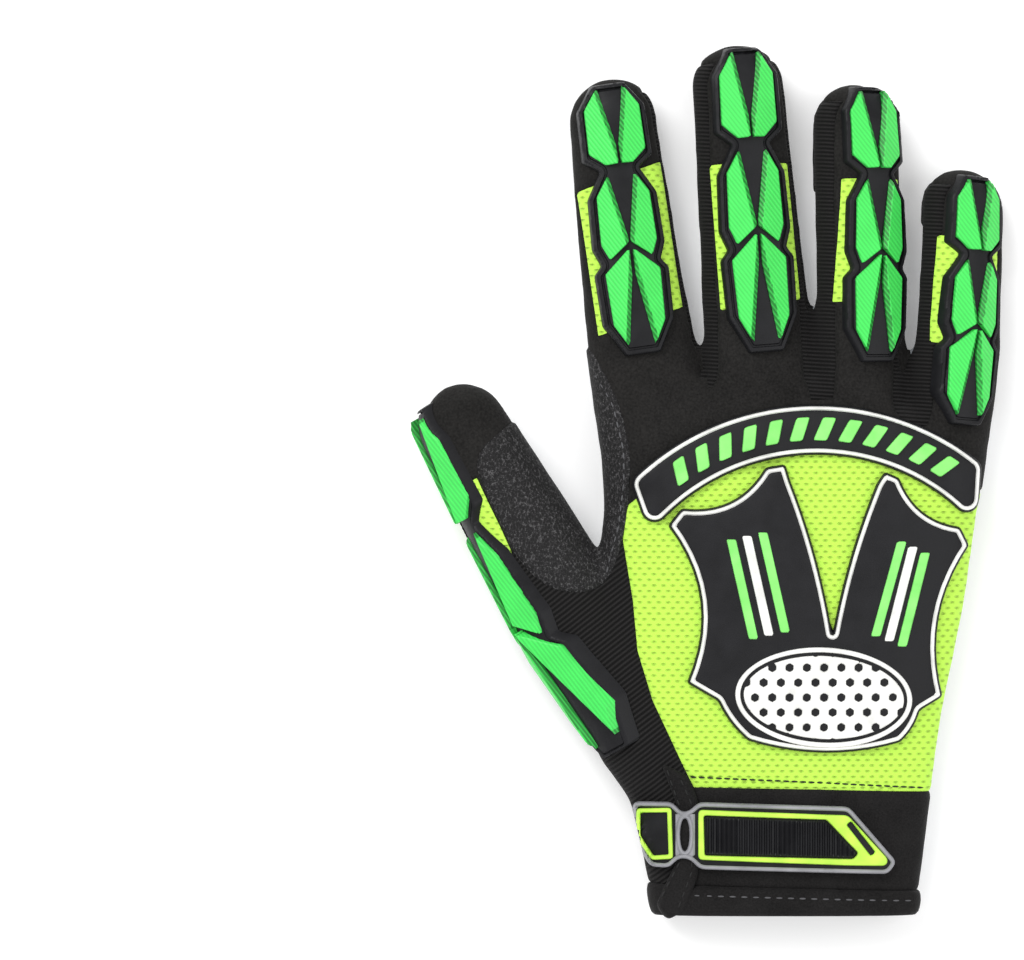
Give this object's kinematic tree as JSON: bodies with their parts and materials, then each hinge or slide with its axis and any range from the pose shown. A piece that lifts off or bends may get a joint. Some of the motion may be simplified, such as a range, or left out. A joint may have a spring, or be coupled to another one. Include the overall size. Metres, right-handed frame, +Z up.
{
  "type": "impact glove",
  "caption": "Right-hand impact glove: knit and mesh back with moulded finger guards, knuckle arch and back pad, grip-patched palm, and a closure tab across the cuff.",
  "frame": {"origin": "middle of the glove's plan, at the height of the surface that its palm rests on", "axes": "+Y along the fingers towards their tips, +X from the thumb towards the little finger, +Z up through the back of the hand"},
  "size_m": [0.1694, 0.2497, 0.0282],
  "materials": {
    "black_fabric": "matt black stretch fabric with a fine rib",
    "knit": "black ribbed knit",
    "neoprene": "black foam-backed jersey",
    "suede": "light grey synthetic suede with a fine nap",
    "grip": "dark grey anti-slip fabric with fine pale specks",
    "mesh_yellow": "high-visibility yellow-green spacer mesh with staggered dimples",
    "guard_rubber": "satin black moulded rubber with a raised rim",
    "facet_green": "neon green moulded rubber with fine slanted ribs",
    "pad_rubber": "matt black padded rubber with white piping",
    "stripe_green": "light green moulded stripe",
    "stripe_white": "white moulded rubber",
    "tab_rubber": "light grey moulded rubber with yellow-green frames"
  },
  "bodies": {
    "root": {"hem_binding": "neoprene", "fourchette_index_middle": "knit", "fourchette_middle_ring": "knit", "fourchette_ring_little": "knit", "thumb_panel": "black_fabric", "side_panel": "knit", "mesh_panel": "mesh_yellow", "cuff_panel": "neoprene", "palm_panel": "suede", "back_panel": "black_fabric", "index_tip_patch": "grip", "middle_tip_patch": "grip", "ring_tip_patch": "grip", "little_tip_patch": "grip", "thumb_tip_patch": "grip", "thumb_crotch_patch": "grip", "upper_palm_patch": "grip", "lower_palm_patch": "grip", "thenar_patch": "grip", "heel_patch": "grip", "index_mesh_insert": "mesh_yellow", "index_guard": "guard_rubber", "index_tip_facets": "facet_green", "index_middle_facets": "facet_green", "index_base_facets": "facet_green", "middle_mesh_insert": "mesh_yellow", "middle_guard": "guard_rubber", "middle_tip_facets": "facet_green", "middle_middle_facets": "facet_green", "middle_base_facets": "facet_green", "ring_mesh_insert": "mesh_yellow", "ring_guard": "guard_rubber", "ring_tip_facets": "facet_green", "ring_middle_facets": "facet_green", "ring_base_facets": "facet_green", "little_mesh_insert": "mesh_yellow", "little_guard": "guard_rubber", "little_tip_facets": "facet_green", "little_middle_facets": "facet_green", "little_base_facets": "facet_green", "thumb_mesh_insert": "mesh_yellow", "thumb_guard": "guard_rubber", "thumb_tip_facets": "facet_green", "thumb_middle_facets": "facet_green", "thumb_base_facets": "facet_green", "knuckle_arch": "pad_rubber", "back_pad": "pad_rubber", "left_outer_stripe": "stripe_green", "left_middle_stripe": "stripe_white", "left_inner_stripe": "stripe_green", "right_inner_stripe": "stripe_green", "right_middle_stripe": "stripe_white", "right_outer_stripe": "stripe_green", "oval_emblem": "stripe_white", "wrist_flap": "knit", "closure_strap": "neoprene", "closure_tab": "tab_rubber", "closure_grip": "guard_rubber"}
  },
  "joints": []
}
